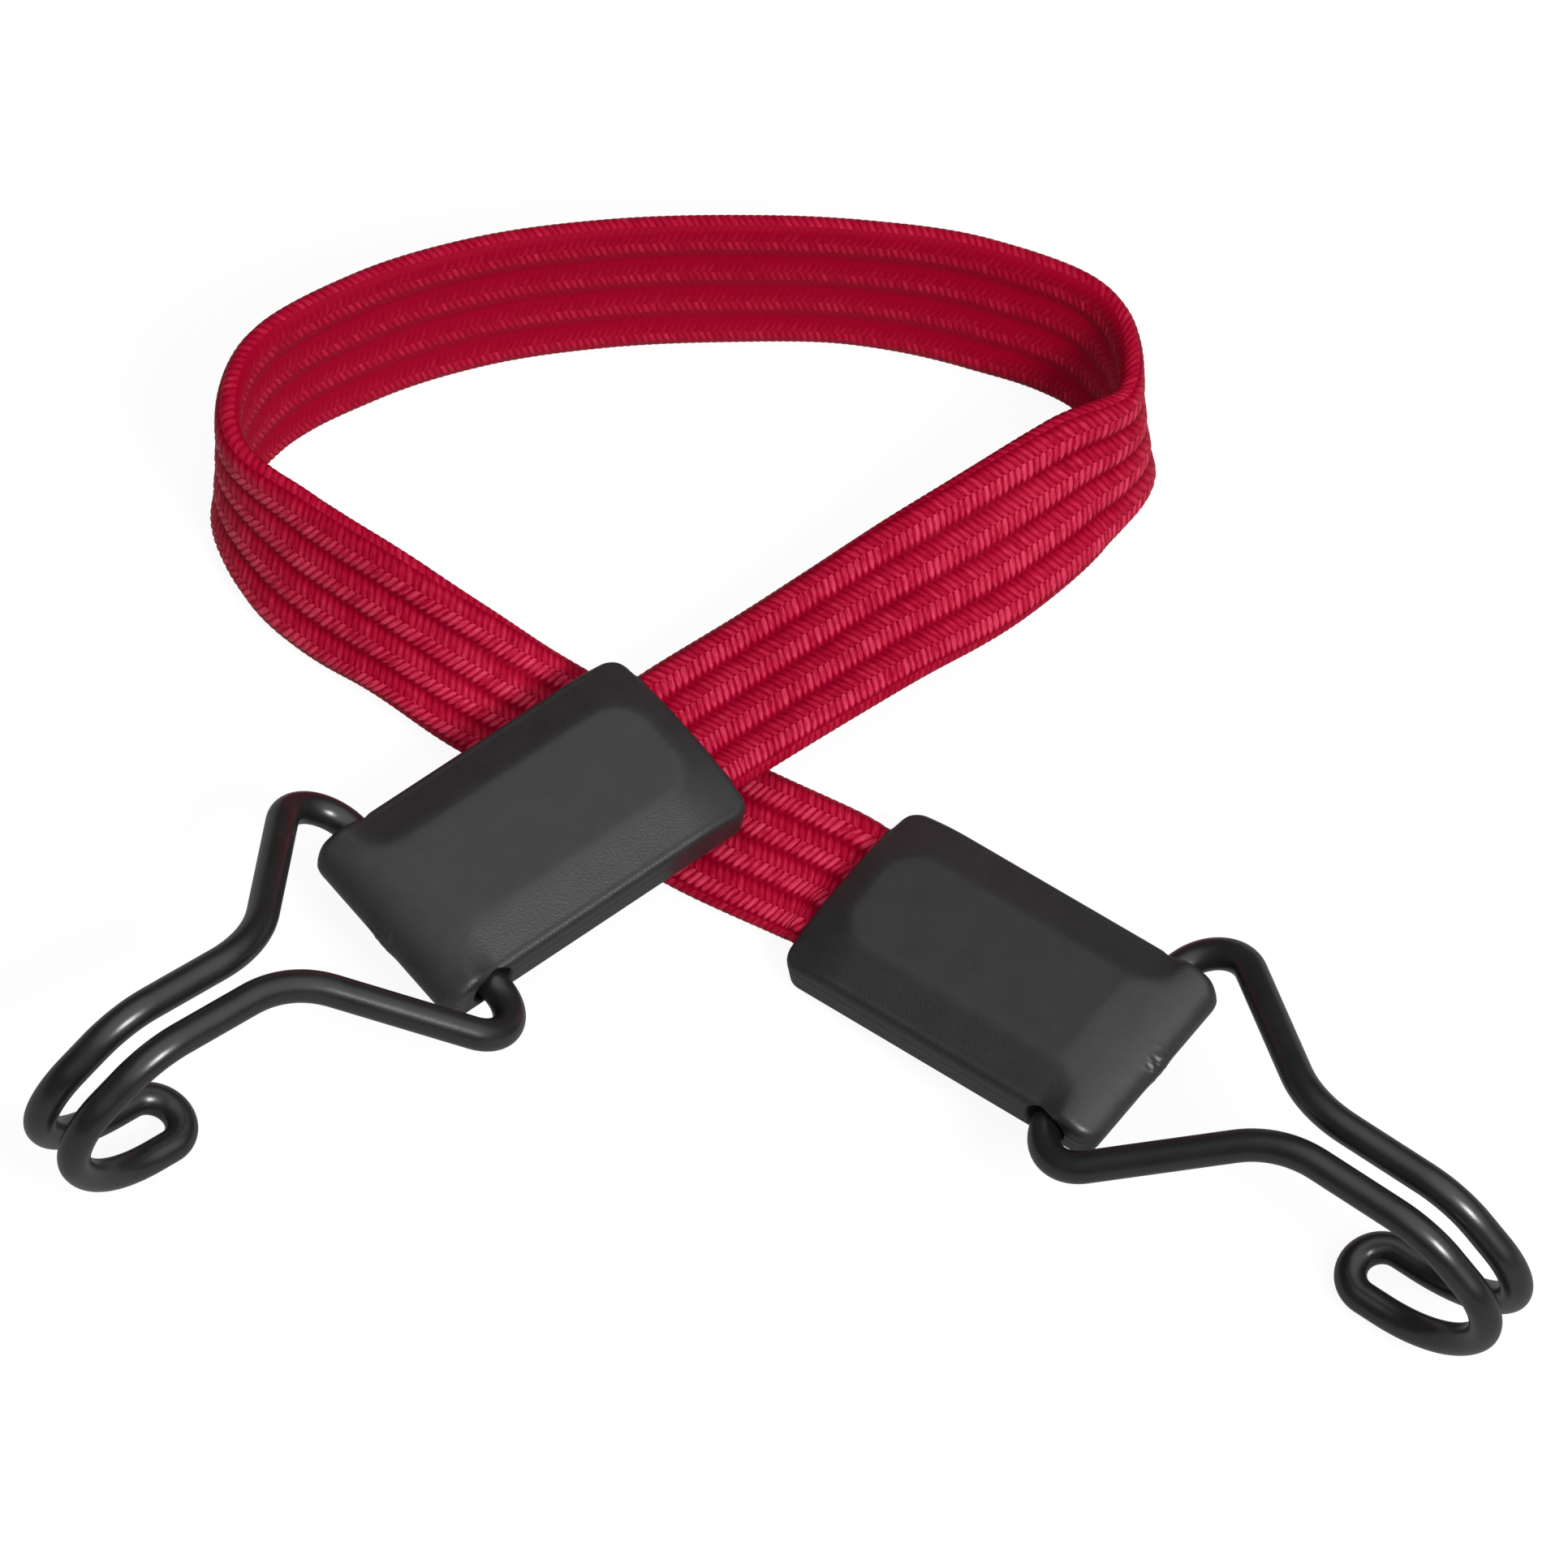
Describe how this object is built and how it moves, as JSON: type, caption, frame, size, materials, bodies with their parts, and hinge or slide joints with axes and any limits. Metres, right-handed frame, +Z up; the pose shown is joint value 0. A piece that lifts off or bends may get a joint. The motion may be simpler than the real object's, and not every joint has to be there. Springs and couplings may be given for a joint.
{
  "type": "bungee cord",
  "caption": "Flat braided elastic cord lying in a loop, with a moulded pad and a swinging bent-wire hook at each end for holding loads down.",
  "frame": {"origin": "on the surface that the cord lies on, under the middle of the box round the two pads and hooks", "axes": "+Z up from the surface, +X from the left hook to the right hook, +Y towards the strap's loop"},
  "size_m": [0.1791, 0.1501, 0.0308],
  "materials": {
    "braid": "tightly braided crimson yarn with a soft sheen",
    "rubber": "plain rubber strand, hidden by the cover",
    "pad": "fine-grained moulded black plastic",
    "hook": "satin black coated steel wire"
  },
  "bodies": {
    "cord": {"strap_cover": "braid", "rubber_strand_1": "rubber", "rubber_strand_2": "rubber", "rubber_strand_3": "rubber", "rubber_strand_4": "rubber", "left_pad": "pad", "right_pad": "pad"},
    "left_hook": {"left_hook": "hook"},
    "right_hook": {"right_hook": "hook"}
  },
  "joints": [
    {"name": "left_hook_swing", "type": "hinge", "parent": "cord", "child": "left_hook", "pos_m": [-0.04198, 0.01025, 0.00918], "axis": [0.6442, -0.7648, 0.0048], "range_deg": [-128, 150]},
    {"name": "right_hook_swing", "type": "hinge", "parent": "cord", "child": "right_hook", "pos_m": [0.04033, -0.00575, 0.01234], "axis": [0.608, 0.791, 0.0675], "range_deg": [-140, 142]}
  ]
}
